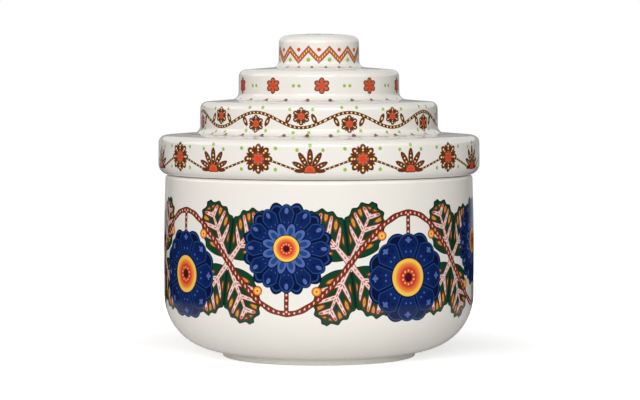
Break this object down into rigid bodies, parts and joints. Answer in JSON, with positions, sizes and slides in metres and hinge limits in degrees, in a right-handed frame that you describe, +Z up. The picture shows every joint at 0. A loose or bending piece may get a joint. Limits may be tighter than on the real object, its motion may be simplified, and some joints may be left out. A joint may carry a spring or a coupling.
{
  "type": "storage jar",
  "caption": "Round porcelain storage jar with a low foot ring and a hollow lift-off lid that rises in steps to a knob.",
  "frame": {"origin": "centre of the jar on the plane that its foot ring stands on", "axes": "+Z up along the jar's axis of symmetry, +X and +Y level, the pictured side faces -Y"},
  "size_m": [0.1552, 0.1552, 0.1557],
  "materials": {
    "body_glaze": "glossy white glaze with a coloured floral print under it, bare fired clay under the foot ring",
    "lid_glaze": "glossy white glaze with coloured printed borders under it"
  },
  "bodies": {
    "jar": {"jar_body": "body_glaze"},
    "lid": {"lid": "lid_glaze"}
  },
  "joints": [
    {"name": "lid_lift", "type": "slide", "parent": "jar", "child": "lid", "axis": [0, 0, 1], "range_m": [0, 0.12]}
  ]
}
